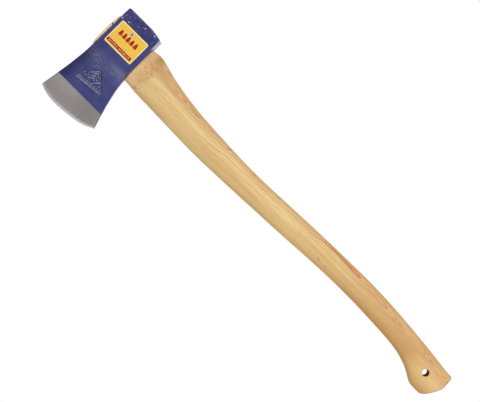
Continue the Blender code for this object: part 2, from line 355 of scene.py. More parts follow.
def carve(obj, *cutters, operation="DIFFERENCE"):
    """Cuts obj by each cutter with an exact Boolean, applies it, and removes the cutters."""
    for cutter in cutters:
        modifier = obj.modifiers.new(cutter.name, "BOOLEAN")
        modifier.operation = operation
        modifier.object = cutter
    apply_modifiers(obj)
    for cutter in cutters:
        bpy.data.objects.remove(cutter)


def apply_modifiers(obj):
    bpy.context.view_layer.update()
    graph = bpy.context.evaluated_depsgraph_get()
    mesh = bpy.data.meshes.new_from_object(obj.evaluated_get(graph))
    obj.modifiers.clear()
    obj.data = mesh


def vectors(items, name):
    """One vector of every item, as an (n, 3) array."""
    values = np.empty(len(items) * 3, np.float32)
    items.foreach_get(name, values)
    return values.reshape(-1, 3).astype(float)


def surface(obj):
    """The mesh's points and their normals."""
    return vectors(obj.data.vertices, "co"), vectors(obj.data.vertex_normals, "vector")


def remap(obj, chosen, slot):
    """Gives the chosen faces this material slot."""
    for face in np.flatnonzero(chosen).tolist():
        obj.data.polygons[face].material_index = slot


def store(obj, name, values):
    attribute = obj.data.attributes.new(name, "FLOAT", "POINT")
    attribute.data.foreach_set("value", values.astype(np.float32))


def settle(obj, sharp_from, node):
    """The piece is shaded smooth but for edges sharper than so many degrees. It rides on the axe's one body, and
    stands for its solid of the frame."""
    obj.data.shade_smooth()
    obj.data.set_sharp_from_angle(angle=math.radians(sharp_from))
    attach(obj, "root")
    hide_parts(node)


# ---------------- materials


class Graph:
    """A short way to write shader nodes: each call adds a node and returns its output."""

    def __init__(self, tree):
        self.tree = tree

    def put(self, socket, value):
        if isinstance(value, bpy.types.NodeSocket):
            self.tree.links.new(value, socket)
        elif isinstance(value, tuple) and len(value) == 3 and socket.type == "RGBA":
            socket.default_value = (*value, 1)
        else:
            socket.default_value = value

    def node(self, kind, inputs, **settings):
        """Adds a node, fills its inputs by place or by name, and returns its outputs."""
        node = self.tree.nodes.new("ShaderNode" + kind)
        for name, value in settings.items():
            setattr(node, name, value)
        for key, value in inputs.items():
            self.put(node.inputs[key], value)
        return node.outputs

    def math(self, operation, a, b=0, c=0):
        return self.node("Math", {0: a, 1: b, 2: c}, operation=operation)[0]

    def times(self, product, *others):
        for other in others:
            product = self.math("MULTIPLY", product, other)
        return product

    def multiply_add(self, a, b, c):
        return self.math("MULTIPLY_ADD", a, b, c)

    def apart(self, a, b):
        """How far apart two values are."""
        return self.math("ABSOLUTE", self.math("SUBTRACT", a, b))

    def scale(self, vector, factors):
        factors = tuple(np.broadcast_to(factors, 3))
        return self.node("VectorMath", {0: vector, 1: factors}, operation="MULTIPLY")[0]

    def ramp(self, value, low, high, start=0, end=1):
        """A smooth step from start to end as value goes from low to high."""
        inputs = {"Value": value, "From Min": low, "From Max": high, "To Min": start, "To Max": end}
        return self.node("MapRange", inputs, interpolation_type="SMOOTHSTEP")[0]

    def blend(self, share, a, b):
        return self.node("Mix", {0: share, 6: a, 7: b}, data_type="RGBA")[2]

    def attribute(self, name):
        return self.node("Attribute", {}, attribute_name=name)["Fac"]


class Material(Graph):
    """A material in millimetres. layer() lays one more tone over the colour so far."""

    def __init__(self, name):
        self.material = bpy.data.materials.new(name)
        self.material.use_nodes = True
        super().__init__(self.material.node_tree)
        self.millimetres = self.scale(self.node("TexCoord", {})["Object"], 1000)
        self.colour = None

    def place(self):
        """The point's x, y and z."""
        return self.node("SeparateXYZ", {0: self.millimetres})

    def noise(self, factors, detail, roughness, vector=None):
        """Noise of so many features per millimetre, or per unit of another vector."""
        scaled = self.scale(vector or self.millimetres, factors)
        inputs = {"Vector": scaled, "Scale": 1, "Detail": detail, "Roughness": roughness}
        return self.node("TexNoise", inputs)[0]

    def cells(self, factors):
        """The distance to the nearest of scattered points, so many per millimetre."""
        scaled = self.scale(self.millimetres, factors)
        return self.node("TexVoronoi", {"Vector": scaled, "Scale": 1})["Distance"]

    def layer(self, tone, *shares):
        """Lays a tone over the colour, as opaque as the product of the shares."""
        self.colour = self.blend(self.times(*shares), self.colour, tone)

    def bump(self, height, depth, strength):
        return self.node("Bump", {"Height": height, "Distance": depth, "Strength": strength})[0]

    def finish(self, **values):
        """Sets the shader's sockets, each named with _ for a space, and returns the material."""
        shader = self.tree.nodes["Principled BSDF"]
        for name, value in {"Base_Color": self.colour, **values}.items():
            self.put(shader.inputs[name.replace("_", " ")], value)
        return self.material


def mottled_material(name, tones, texture, relief, **values):
    """A surface between two tones. texture is the noise's factors, detail and roughness, relief is the bump's
    depth and strength, and the values go on the shader."""
    g = Material(name)
    mottle = g.noise(*texture)
    g.colour = g.blend(mottle, *tones)
    return g.finish(Normal=g.bump(mottle, *relief), **values)


def honed_material():
    """The fine strip along the edge."""
    texture = ((0.8, 0.8, 3.5), 2, 0.5)
    return mottled_material("honed_steel", HONED_TONES, texture, (0.00001, 0.5), Metallic=1, Roughness=0.5)


def bare_material():
    """The dull steel inside the eye."""
    texture = (0.6, 4, 0.6)
    return mottled_material("bare_steel", BARE_TONES, texture, (0.0001, 0.6), Metallic=1, Roughness=0.55)


def wedge_steel_material():
    """The browned steel of the cross wedge."""
    texture = (0.7, 4, 0.6)
    return mottled_material("wedge_steel", WEDGE_TONES, texture, (0.0001, 0.6), Metallic=1, Roughness=0.5)


def hole_material():
    """The wall of the hanging hole: drilled across the grain, and dark brown."""
    texture = ((0.9, 0.25, 0.9), 3, 0.6)
    values = {"Roughness": 0.9, "Specular_IOR_Level": 0}
    return mottled_material("drilled_wood", HOLE_WALL_TONES, texture, (0.0002, 0.8), **values)


def paint_material():
    """Semi-gloss blue-violet enamel over a forged skin: pooled and dark in the recesses, thin on the high
    spots, and scuffed and chipped towards the poll. Painted shade darkens the top edge and the shaded sides of
    the laps; painted highlights and a painted reflection lighten the lit sides of the laps, a band low on the
    cheek, the poll's underside and the mark's lit walls; the pale blotches and specks towards the poll are
    partly painted glints."""
    g = Material("blue_enamel")
    x = g.place()[0]
    mottle = g.noise((0.1, 0.1, 0.08), 4, 0.55)
    speckle = g.noise(0.8, 3, 0.6)
    skin = g.noise((0.45, 0.45, 0.4), 5, 0.6)
    g.colour = g.blend(g.ramp(mottle, 0.32, 0.7), PAINT_DEEP, PAINT)
    g.layer(PAINT_THIN, g.ramp(speckle, 0.58, 0.76, 0, 0.16))
    # Pooled enamel in the mark's lines, and painted shade on the top edge and the shaded sides of the laps;
    # darker towards the poll
    g.layer(PAINT_POOLED_AND_SHADED, g.attribute("pooled_and_shaded"))
    # Pale blotches towards the poll: scuffed enamel and painted glints on the scale
    scuff_and_glint_patches = g.ramp(g.noise(0.26, 3, 0.65), 0.52, 0.62, 0, 0.6)
    g.layer(PAINT_SCUFFED_AND_LIT, scuff_and_glint_patches, g.ramp(x, 20, 34))
    # Worn enamel, and painted highlights and a painted reflection, from the attribute
    g.layer(PAINT_WORN_AND_LIT, g.attribute("wear_and_highlight"), g.ramp(speckle, 0.3, 0.62, 0.35, 1))
    # Pale specks towards the poll: chipped enamel and painted glints on the scale
    clusters = g.ramp(g.noise(0.09, 2, 0.5), 0.42, 0.6, 0.12, 1)
    ragged = g.multiply_add(g.noise(0.55, 2, 0.6), 0.9, g.cells(0.34))
    chips_and_glints = g.times(g.ramp(ragged, 0.5, 0.62, 1, 0), clusters, g.ramp(x, 22, 36))
    g.layer(PAINT_CHIPPED_AND_GLINT, chips_and_glints)
    height = g.math("SUBTRACT", g.multiply_add(speckle, 0.3, skin), chips_and_glints)
    rough = g.ramp(mottle, 0.3, 0.8, 0.32, 0.42)
    return g.finish(Roughness=rough, Normal=g.bump(height, 0.0002, 0.8))


def ground_material():
    """Ground steel: fine scratches run across the bit, towards the edge, in faint broader bands."""
    g = Material("ground_steel")
    x, _, z = g.place()
    scratches = g.noise((0.05, 0.3, 2.6), 3, 0.65)
    bands = g.noise((0.03, 0.1, 0.3), 3, 0.6)
    g.colour = g.blend(g.ramp(scratches, 0.3, 0.7), STEEL_DARK, STEEL)
    g.layer(STEEL_BAND, g.ramp(bands, 0.36, 0.66, 0, 0.55))
    g.layer(STEEL_DARK, g.ramp(g.noise(0.08, 3, 0.5), 0.5, 0.75, 0, 0.3))
    # Painted shade, in place of a darker reflection: the bit goes darker low down and towards the edge. Above
    # its middle it goes lighter
    g.layer(STEEL_SHADE, g.ramp(z, 52, -8), g.ramp(x, -98, -114, 0.5, 1), 0.8)
    g.layer(STEEL_SHADE, g.ramp(x, -106, -120, 0, 0.4))
    g.layer(STEEL_BRIGHT, g.ramp(z, 22, 44), g.ramp(x, -114, -97), 0.3)
    rough = g.ramp(bands, 0.3, 0.7, 0.46, 0.56)
    return g.finish(Metallic=1, Roughness=rough, Normal=g.bump(scratches, 0.00004, 0.7))


def rings_of(g):
    """How far out from the pith each point is, and how far out it grew: the rings are cones, so that where
    the haft's face cuts them they show as long nested points."""

    def sway(factors, detail):
        return g.math("SUBTRACT", g.noise(factors, detail, 0.5), 0.5)

    slow = sway((0.016, 0.016, 0.006), 2)
    quick = sway((0.09, 0.09, 0.02), 2)
    aside = g.multiply_add(quick, 2.4, g.multiply_add(slow, 6, g.attribute("from_pith")))
    behind = g.math("SUBTRACT", g.place()[1], PITH_Y)
    out = g.math("SQRT", g.multiply_add(aside, aside, g.times(behind, behind)))
    wave = g.times(sway((0.02, 0.02, 0.024), 1), g.ramp(out, 15, 4, 0, RING_WAVE))
    return out, g.math("SUBTRACT", out, g.math("ADD", wave, g.attribute("ring_taper")))


def timber_material(name, pale, tan, heart, line_tone, pore_tone, worked=True):
    """Ring-porous wood: growth rings with open pores in the early wood, fibre streaks along the grain, and
    redder heartwood round the pith. The end grain shows the same rings and pores as arcs and dots."""
    g = Material(name)
    out, radius = rings_of(g)
    years = g.node("CombineXYZ", {0: radius})[0]
    good_years = g.noise((0.17, 1, 1), 2, 0.6, years)
    radius = g.math("ADD", g.multiply_add(good_years, RING_UNEVEN, radius), RING_PHASE)
    ring = g.math("FRACT", g.math("DIVIDE", radius, RING_WIDTH))
    early = g.times(g.ramp(ring, 0, 0.08), g.ramp(ring, 0.2, 0.55, 1, 0))
    late = g.times(g.ramp(ring, 0.4, 0.8), g.ramp(ring, 0.95, 1, 1, 0))
    wander = g.noise((0.04, 0.04, 0.01), 3, 0.6)
    hearted = g.ramp(g.multiply_add(wander, 10, out), 19, 7.5)
    shown = g.ramp(g.noise((0.08, 0.08, 0.006), 2, 0.5), 0.36, 0.62, 0.15, 1)
    strong = g.ramp(g.noise((0.3, 1, 1), 1, 0.5, years), 0.38, 0.58, 0.3, 1)
    line = g.times(late, strong, g.math("MAXIMUM", shown, hearted))
    fibre = g.noise((0.75, 0.75, 0.01), 3, 0.65)
    silk = g.noise((0.4, 0.4, 0.006), 3, 0.6)
    streak = g.noise((0.11, 0.11, 0.004), 3, 0.55)
    pore = g.noise((1.7, 1.7, 0.075), 2, 0.6)
    pores = g.times(g.ramp(pore, 0.58, 0.68), g.multiply_add(early, 0.8, 0.2))
    g.colour = g.blend(g.ramp(streak, 0.38, 0.66, 0, 0.26), pale, tan)
    g.layer(tan, g.ramp(silk, 0.38, 0.62, 0.4, 0))
    g.layer(heart, hearted, 0.56)
    g.layer(tan, line, 0.8)
    g.layer(line_tone, line, g.multiply_add(hearted, 0.6, 0.24))
    g.layer(tan, g.ramp(fibre, 0.36, 0.58, 0.34, 0))
    g.layer(pore_tone, pores, 0.4)
    if worked:
        worked_marks(g)
    height = g.multiply_add(late, 0.15, g.math("SUBTRACT", g.times(fibre, 0.35), pores))
    rough = g.ramp(fibre, 0.3, 0.7, 0.46, 0.58)
    return g.finish(Roughness=rough, Normal=g.bump(height, 0.00014, 0.6), Specular_IOR_Level=0.3)


def worked_marks(g):
    """What the maker and the hand left on the haft, with painted light and shade: the tongue lighter towards its
    end, and the front, the edges of the lower haft and the back corner under the head darker.
    """
    uneven = g.noise((0.13, 0.13, 0.05), 3, 0.6)
    combed = g.noise((0.9, 0.9, 0.06), 3, 0.6)
    shoulder_marks(g, uneven, combed)
    handling_and_shade_marks(g, uneven)
    # Painted light: the tongue goes lighter from 60 mm up, where the dim top of the studio leaves it in shade
    g.layer(WOOD_LIT_TOP, g.ramp(g.place()[2], 60, 66), g.ramp(combed, 0.46, 0.62, 0.85, 0.4))
    g.layer(WOOD_END, g.attribute("end_grain"), 0.75)
    g.layer(WOOD_DARK, g.ramp(g.cells((0.085, 0.085, 0.022)), 0.04, 0.075, 0.5, 0))
    dirt = g.noise((0.05, 0.05, 0.02), 4, 0.65)
    g.layer(WOOD_HEART, g.ramp(dirt, 0.52, 0.8, 0, 0.3))


def shoulder_marks(g, uneven, combed):
    """Rawer wood where the tongue's cut runs out, marks on its lip, a check in it, and painted shade at the back
    corner under the head.
    """
    x, _, z = g.place()
    edge = g.multiply_add(uneven, 14, z)
    raw = g.ramp(edge, -20, -11)
    g.layer(WOOD_RAW, raw, 0.5)
    g.layer(WOOD_HEART, raw, g.ramp(combed, 0.5, 0.66, 0, 0.3))
    flush = g.times(g.ramp(x, 0, 13), g.ramp(g.apart(z, -32), 26, 8))
    g.layer(WOOD_HEART, flush, g.ramp(uneven, 0.34, 0.62, 0.2, 0.75))
    lip = g.times(g.ramp(edge, -25, -18), g.ramp(edge, -12, 2, 1, 0))
    g.layer(WOOD_TAN, lip, g.ramp(x, 12, 0), g.ramp(x, -26, -16), 0.45)
    scratch = g.noise((0.5, 0.5, 0.13), 2, 0.6)
    g.layer(WOOD_LINE, lip, g.ramp(scratch, 0.51, 0.61, 0, 0.55))
    check = g.ramp(g.apart(g.multiply_add(z, 0.1, x), 1.8), 0.15, 0.7, 1, 0)
    g.layer(WOOD_DARK, check, g.ramp(z, -15.5, -12.5), g.ramp(z, -10.5, -7.5, 1, 0), 0.75)
    # Painted shade: the back corner just under the head goes darker, where it turns away from the light
    corner = g.times(g.ramp(x, 17, 31), g.ramp(g.apart(z, -19), 3, 13, 1, 0))
    g.layer(WOOD_DARK, corner, g.ramp(uneven, 0.38, 0.58, 0.3, 0.75))


def handling_and_shade_marks(g, uneven):
    """Tones that deepen at the front, down the back, and towards the grip and the knob. The darker front and
    the darker edges of the lower haft are painted shade, the grip is darker with handling and painted shade, and
    redder heartwood runs down the back.
    """
    x, y, z = g.place()
    off_middle = g.math("ABSOLUTE", y)
    # Painted shade: the front of the haft goes darker below the shoulder
    g.layer(WOOD_TAN, g.ramp(x, -4, -24), g.ramp(z, -20, -40), 0.44)
    # Handling and painted shade: the grip goes darker, most towards the front
    grip = g.times(g.ramp(z, -330, -520), g.ramp(z, -632, -590))
    g.layer(WOOD_HANDLED_AND_SHADED, grip, g.ramp(x, 10, -22), 0.62)
    spine = g.times(g.ramp(off_middle, 9.5, 3), g.ramp(x, -8, 4), g.ramp(z, -16, -34))
    g.layer(WOOD_HEART, spine, g.ramp(uneven, 0.3, 0.6, 0.35, 0.8))
    # Painted shade: the lower haft goes darker near its front and back edges and at the knob's front
    rim = g.math("MAXIMUM", g.ramp(off_middle, 11, 5), g.ramp(x, -34, -50))
    g.layer(WOOD_HANDLED_AND_SHADED, rim, g.ramp(z, -420, -580), 0.6)


def print_material(name, colour):
    """A printed colour: fine grain, a faint unevenness of the ink, and a softly wavy film."""
    g = Material(name)
    ink = g.noise(0.12, 3, 0.5)
    g.colour = g.blend(g.ramp(ink, 0.3, 0.75, 0, 0.2), colour, tuple(c * 0.78 for c in colour))
    g.layer(LABEL_DUST, g.ramp(g.noise(1.6, 2, 0.6), 0.6, 0.8, 0, 0.2))
    return g.finish(Roughness=0.34, Normal=g.bump(ink, 0.0002, 0.35))


# ---------------- the head

edge_x = spline(EDGE)


def head_top(x):
    return TOP_AT_POLL + TOP_RISE * (POLL_X - x) + sweep(x, *TOP_SWEEP)


def head_underside(x):
    return -sweep(x, *UNDERSIDE_SWEEP)


def cheek_drop(x):
    ahead = np.maximum(0.0, CHEEK_FLAT_X - x)
    return CHEEK_DROP * ahead**2 / (ahead**2 + CHEEK_EASE**2)


def into_poll(x):
    """0 ahead of the poll's taper, and 1 at its face."""
    return np.maximum(0.0, (x - POLL_TAPER_X) / (POLL_X - POLL_TAPER_X))


def cheek_half(x):
    return CHEEK - cheek_drop(x) - POLL_TAPER * into_poll(x) ** 2


def cheek_crown(x, height):
    return CHEEK_CROWN * cheek_drop(x) / CHEEK_DROP * (2 * height - 1) ** 2


def poll_lean(z):
    low_z, low_depth = POLL_CROWN_LOW
    high_z, high_depth = POLL_CROWN_HIGH
    low = np.maximum(0.0, (low_z - z) / low_z)
    high = np.maximum(0.0, (z - high_z) / (TOP_AT_POLL - high_z))
    return low_depth * low**2 + high_depth * high**2


class HalfSection:
    """The points round half of the head's section: underside, corner, cheek, corner, top."""

    def __init__(self, cheek_shares):
        flat = np.linspace(0, 1, 9)[:-1]
        turn = np.linspace(0, math.pi / 2, 6)
        cheek = cheek_shares[1:-1]
        none = 0 * flat
        full = 0 * turn + 1
        side = 0 * cheek + 1
        self.reach = np.concatenate([flat, full, side, full, flat[::-1]])
        self.corner = np.concatenate([none, np.sin(turn), side, np.sin(turn[::-1]), none])
        self.lift = np.concatenate([none, 1 - np.cos(turn), side, 1 + np.cos(turn[::-1]), none + 2])
        self.share = np.concatenate([none, 0 * turn, cheek, full, none + 1])

    def ring(self, half, low, high, corner):
        """(y, z, height) all round: up the -Y side, then down the +Y side."""
        corner = min(corner, 0.6 * half)
        y = -((half - corner) * self.reach + corner * self.corner)
        z = low + corner * self.lift + (high - low - 2 * corner) * self.share
        y = np.concatenate([y, -y[-2:0:-1]])
        z = np.concatenate([z, z[-2:0:-1]])
        return y, z, (z - low) / (high - low)


def cheek_station(section, x, inset=0.0):
    y, z, height = section.ring(cheek_half(x) - inset, head_underside(x) + inset, head_top(x) - inset, CORNER)
    y = y * (1 - cheek_crown(x, height) / (cheek_half(x) - inset))
    return np.stack([x - into_poll(x) ** 2 * poll_lean(z), y, z], 1)


def poll_face(rim):
    """Rings that close in from the poll's rim on an upright line down its middle."""
    y, z = rim[:, 1], rim[:, 2]
    middle = (z.max() + z.min()) / 2
    shortest = 1 - y.max() / (z.max() - middle)
    rings = []
    for share in np.linspace(1, 0, POLL_RINGS + 1)[1:]:
        height = middle + (z - middle) * mix(shortest, 1, share)
        rings.append(np.stack([POLL_X - poll_lean(height), y * share, height], 1))
    return rings


def bit_half(share):
    """Half the bit's width, this share of the way from the edge to the paint."""
    if share <= HONE_SHARE:
        return mix(EDGE_HALF, HONE_HALF, share / HONE_SHARE)
    along = (share - HONE_SHARE) / (1 - HONE_SHARE)
    return mix(HONE_HALF, cheek_half(GROUND_X) - GROUND_STEP, along) + GROUND_BULGE * 4 * along * (1 - along)


def bit_station(section, share):
    half = bit_half(share)
    y, z, height = section.ring(half, head_underside(GROUND_X), head_top(GROUND_X), CORNER * share)
    y = y * (1 - cheek_crown(GROUND_X, height) * share / half)
    edge_z = mix(HEEL[0], TOE[0], height)
    return np.stack([mix(edge_x(edge_z), GROUND_X, share), y, mix(edge_z, z, share)], 1)


def segment_distance(x, z, a, b):
    """How far each (x, z) is from the segment a to b."""
    along = np.array(b) - np.array(a)
    share = np.clip(((x - a[0]) * along[0] + (z - a[1]) * along[1]) / (along @ along), 0, 1)
    return np.hypot(x - a[0] - share * along[0], z - a[1] - share * along[1])


def path_lines(points, half):
    return [(a, b, half) for a, b in zip(points, points[1:])]


def chevron(tip, z, depth, reach, half):
    """An arrowhead that points back, as segments (a, b, half width)."""
    return path_lines([(tip - depth, z - reach), (tip, z), (tip - depth, z + reach)], half)


def stamp_lines():
    """The struck mark, as segments (a, b, half width): chevrons in a diamond, one more above and below it,
    and a bar with a zigzag ahead of it."""
    cx, cz = STAMP_CENTRE
    r = STAMP_HALF
    lines = path_lines([(cx + r, cz), (cx, cz + r), (cx - r, cz), (cx, cz - r), (cx + r, cz)], 0.0008)
    for tip in (0.0076, 0.003, -0.0016):
        reach = 0.0046 if tip > 0.005 else 0.0056
        lines += chevron(cx + tip, cz, 0.8 * reach, reach, 0.00075)
    start, end = (np.array(point) for point in BAR_ENDS)
    along = (end - start) / np.linalg.norm(end - start)
    across = np.array((-along[1], along[0]))
    lines.append((tuple(start), tuple(end), 0.0007))
    count = 2 * BAR_TEETH
    teeth = [mix(start, end, i / count) + across * (0.0018 + 0.0032 * (i % 2)) for i in range(count + 1)]
    lines += path_lines([tuple(point) for point in teeth], 0.0006)
    for side in (-1, 1):
        tip = cx - 0.0016 + side * 0.0005
        lines += chevron(tip, cz + side * 0.0158, 0.0052, 0.0028, 0.0007)
    return lines


def stamp_depth(x, z):
    """From 0 clear of the struck mark to 1 in the bottom of its lines, and the rim thrown up beside them."""
    depth = np.zeros(len(x))
    rim = np.zeros(len(x))
    for a, b, half in stamp_lines():
        away = segment_distance(x, z, a, b)
        depth = np.maximum(depth, 1 - smooth(half * 0.6, half + 0.0004, away))
        rim = np.maximum(rim, bell(away - half - 0.0007, 0.0005))
    return depth, rim * (1 - depth)


def on_stamp(points, normals):
    """The points of the -Y cheek near the struck mark."""
    x, y, _ = points.T
    return (y < 0) & (np.abs(normals[:, 1]) > 0.6) & (x > -0.086) & (x < -0.044)


def flow_ridges(points):
    """Wavy laps left where the forging thins ahead of the eye: a broken ridge down each cheek, and swirls."""
    x, _, z = points.T
    flat = points * (0.2, 1, 1)
    line = -0.0375 + 0.0045 * grain(flat, 0.013, 21.0, 2) + 0.07 * (z - 0.035)
    width = 0.0015 + 0.0008 * grain(flat, 0.01, 25.0)
    broken = smooth(-0.25, 0.3, grain(flat, 0.0085, 22.0))
    ridge = bell(x - line, width) * broken
    swirl = grain(points, 0.0115, 23.0, 2)
    laps = bell(swirl, 0.09) * smooth(-0.05, 0.25, grain(points, 0.02, 24.0))
    zone = smooth(-0.07, -0.052, x) * smooth(-0.016, -0.026, x)
    return (ridge + 0.8 * laps * zone) * smooth(0.07, 0.052, z)


def head_relief(points, normals):
    """The forged skin: broad unevenness, hammer dents, laps, rough scale that grows towards the poll, and the
    struck mark."""
    x, _, z = points.T
    painted = smooth(GROUND_X - 0.0001, GROUND_X + 0.0012, x)
    broad = grain(points, 0.026, 1.0)
    dents = grain(points, 0.0085, 2.0, 2)
    scale = grain(points, 0.004, 3.0, 2)
    rough = 0.3 + 0.7 * smooth(0.018, 0.034, x)
    side = smooth(0.5, 0.9, np.abs(normals[:, 1]))
    amount = 0.00018 * broad + 0.00012 * dents * rough + 0.00028 * scale * rough**2
    amount += 0.00056 * flow_ridges(points) * side
    pits = np.clip(grain(points, 0.005, 4.0) - 0.34, 0, 1) * rough
    amount = (amount - 0.0009 * pits) * painted
    near = on_stamp(points, normals)
    depth, rim = stamp_depth(x[near], z[near])
    amount[near] += 0.0002 * rim - 0.00065 * depth
    return np.where(x > 0, np.minimum(amount, HIGHEST_BY_LABEL), amount)


def paint_state(points, normals):
    """Two values for each point. The first: where the enamel is thin, on rims, high spots, edges and chipped
    spots, with painted highlights on the lit sides of the laps and on the mark's lit walls, a painted highlight
    band low on the cheek, and a painted reflection along the poll's underside. The second: pooled enamel in the
    mark's lines, painted shade there, along the top edge and on the shaded sides of the laps, and darker towards
    the poll.
    """
    x, y, z = points.T
    side = smooth(0.5, 0.9, np.abs(normals[:, 1]))
    near = on_stamp(points, normals)
    stamp_x, stamp_z = x[near], z[near]
    depth, rim = stamp_depth(stamp_x, stamp_z)
    step = 0.0004  # either side, to tell which walls face the light
    wall = stamp_depth(stamp_x + step, stamp_z)[0] - stamp_depth(stamp_x - step, stamp_z - step)[0]
    edges = smooth(0.25, 0.7, 1 - np.abs(normals).max(1)) * (0.3 + 0.5 * grain(points, 0.007, 8.0))
    # Painted highlight: a lighter band down the lower cheek at x = -31 mm, where the cheek curves in towards the
    # bit
    highlight_band = bell(x + 0.031, 0.006) * smooth(0.04, 0.01, z) * side
    # Painted light and shade on the laps: their sides that face the light go lighter, the sides turned away go
    # darker
    slant = (flow_ridges(points - (step, 0, step)) - flow_ridges(points + (step, 0, 0))) * side
    lit = smooth(0.1, 0.55, slant)
    shaded = smooth(0.1, 0.55, -slant)
    wear_and_highlight = np.maximum(0.23 * edges, 0.11 * highlight_band) + 0.26 * lit
    # Painted reflection: a pale strip along the underside of the poll
    underside_reflection = smooth(0.024, 0.034, x) * smooth(0.0022, 0.0009, z) * (1.0 + 0.4 * grain(points, 0.005, 28.0))
    wear_and_highlight = np.maximum(wear_and_highlight, underside_reflection)
    for chip_x, chip_z, radius in CHIPS:
        away = np.hypot(x - chip_x, z - chip_z) + 0.0004 * grain(points, 0.0012, 9.0)
        wear_and_highlight = np.maximum(wear_and_highlight, smooth(radius + 0.0004, radius, away) * (y < 0))
    # Painted highlight on the mark's walls that face the light, over worn enamel on its rims
    glint_and_wear_spread = 0.6 + 0.6 * grain(points[near], 0.004, 27.0)
    wear_and_highlight[near] = np.maximum(wear_and_highlight[near], np.maximum(0.05 * rim, 1.5 * wall) * glint_and_wear_spread)
    # Painted shade along the top edge of the cheek; darker towards the poll; painted shade on the sides of the
    # laps turned from the light; in the mark's lines, pooled enamel and painted shade
    pooled_and_shaded = 0.85 * smooth(0.02, 0.004, head_top(x) - z) * smooth(-0.016, -0.03, x) * side
    pooled_and_shaded = np.maximum(pooled_and_shaded, 0.5 * smooth(0.02, 0.034, x))
    pooled_and_shaded = np.maximum(pooled_and_shaded, 0.6 * shaded)
    pooled_and_shaded[near] = np.maximum(pooled_and_shaded[near], np.maximum(depth, 0.45 * rim) * (1 - np.clip(wall, 0, 1)))
    return np.clip(wear_and_highlight, 0, 1), pooled_and_shaded


def oval(z, half_length, half_width, centre, power, count):
    """A closed ring from the front end round by -Y to the back and home by +Y. z is one height, or one for
    each point."""
    angle = 2 * math.pi * np.arange(count) / count
    c, s = -np.cos(angle), -np.sin(angle)
    s[0] = s[count // 2] = 0.0
    x = np.sign(c) * np.abs(c) ** (2 / power)
    y = np.sign(s) * np.abs(s) ** (2 / power)
    return np.stack([centre + half_length * x, half_width * y, np.broadcast_to(z, count)], 1)


def eye_halves(z, grow):
    """Half the eye's length and half its width at this height, made larger by grow."""
    length, width = ((at_mouth + rise * z + grow) for at_mouth, rise in (EYE_HALF_LENGTH, EYE_HALF_WIDTH))
    return length, width


def eye_ring(z, grow, count=96):
    return oval(z, *eye_halves(z, grow), EYE_LEAN * z, EYE_POWER, count)


def in_eye(points, grow):
    x, y, z = points.T
    half_length, half_width = eye_halves(z, grow)
    along = np.abs((x - EYE_LEAN * z) / half_length)
    across = np.abs(y / half_width)
    return along**EYE_POWER + across**EYE_POWER < 1


def loft(name, rings, materials=()):
    """A closed solid through rings that are alike either side of the XZ plane, capped by strips across it."""
    count = len(rings[0])
    faces = ring_faces(len(rings), count)
    for base in (0, (len(rings) - 1) * count):
        for i in range(count // 2):
            corners = [base + i, base + i + 1, base + count - i - 1, base + (count - i) % count]
            faces.append(tuple(dict.fromkeys(corners)))
    return cleaned(mesh_of(name, np.array(rings), faces, materials))


def eye_cutter():
    """The eye with a small countersink at the top and at the mouth."""
    profile = ((-0.003, 0.0036), (0.0006, 0.0), (0.069, 0.0), (0.0745, 0.0055))
    return loft("eye_cutter", [eye_ring(z, grow) for z, grow in profile])


def cheek_rings(section):
    """Rings from the foot of the bit's step to the poll's rim, closest where the mark and the laps are."""
    step_foot, step_top = GROUND_X + GROUND_STEP, GROUND_X + 0.0005
    stations = spaced(
        (step_foot, step_top, 0.0003), (step_top, -0.086, 0.0011), (-0.086, -0.044, 0.0005),
        (-0.044, CHEEK_FLAT_X, 0.0008), (CHEEK_FLAT_X, 0.018, 0.0013), (0.018, POLL_X - POLL_ROUND, 0.0008),
    )
    rings = [cheek_station(section, x) for x in stations]
    for sine, drawn in quarter_turn(6)[1:]:
        rings.append(cheek_station(section, POLL_X - POLL_ROUND * (1 - sine), POLL_ROUND * drawn))
    return rings


def make_head():
    """The forging from the edge back to the poll, with its eye cut through it."""
    section = HalfSection(spaced((0, 0.1, 0.014), (0.1, 0.76, 0.0062), (0.76, 1, 0.014)))
    bit_shares = spaced((0, HONE_SHARE, BIT_SPACING), (HONE_SHARE, 1, BIT_SPACING))
    rings = [bit_station(section, 0) * (1, 0, 1)]
    rings += [bit_station(section, share) for share in bit_shares[1:]]
    rings += cheek_rings(section)
    rings += poll_face(rings[-1])
    count = len(rings[0])
    head = mesh_of("axe_head_forged", np.array(rings), ring_faces(len(rings), count), HEAD_MATERIALS)
    rows = np.full(len(rings) - 1, ENAMEL)
    honed = round(HONE_SHARE / BIT_SPACING)
    rows[:honed] = HONED
    rows[honed : len(bit_shares) + 1] = GROUND
    head.data.polygons.foreach_set("material_index", np.repeat(rows, count))
    cleaned(head)
    push(head, head_relief)
    carve(head, eye_cutter())
    remap(head, in_eye(vectors(head.data.polygons, "center"), 0.0004), BARE)
    wear_and_highlight, pooled_and_shaded = paint_state(*surface(head))
    store(head, "wear_and_highlight", wear_and_highlight)
    store(head, "pooled_and_shaded", pooled_and_shaded)
    settle(head, 38, "axe_head")


# ---------------- the haft

front_outline = spline(FRONT)
back_outline = spline(BACK)
half_thickness = spline(HALF_THICKNESS)
pith_inside = spline(PITH_INSIDE)
ring_taper = spline(RING_TAPER)


def knob_floor(x):
    """The knob's sawn end, which rises towards the front."""
    ahead = np.maximum(0.0, KNOB_HEEL_X - x)
    return HAFT_END + KNOB_SLOPE * ahead + KNOB_CURVE * ahead**2


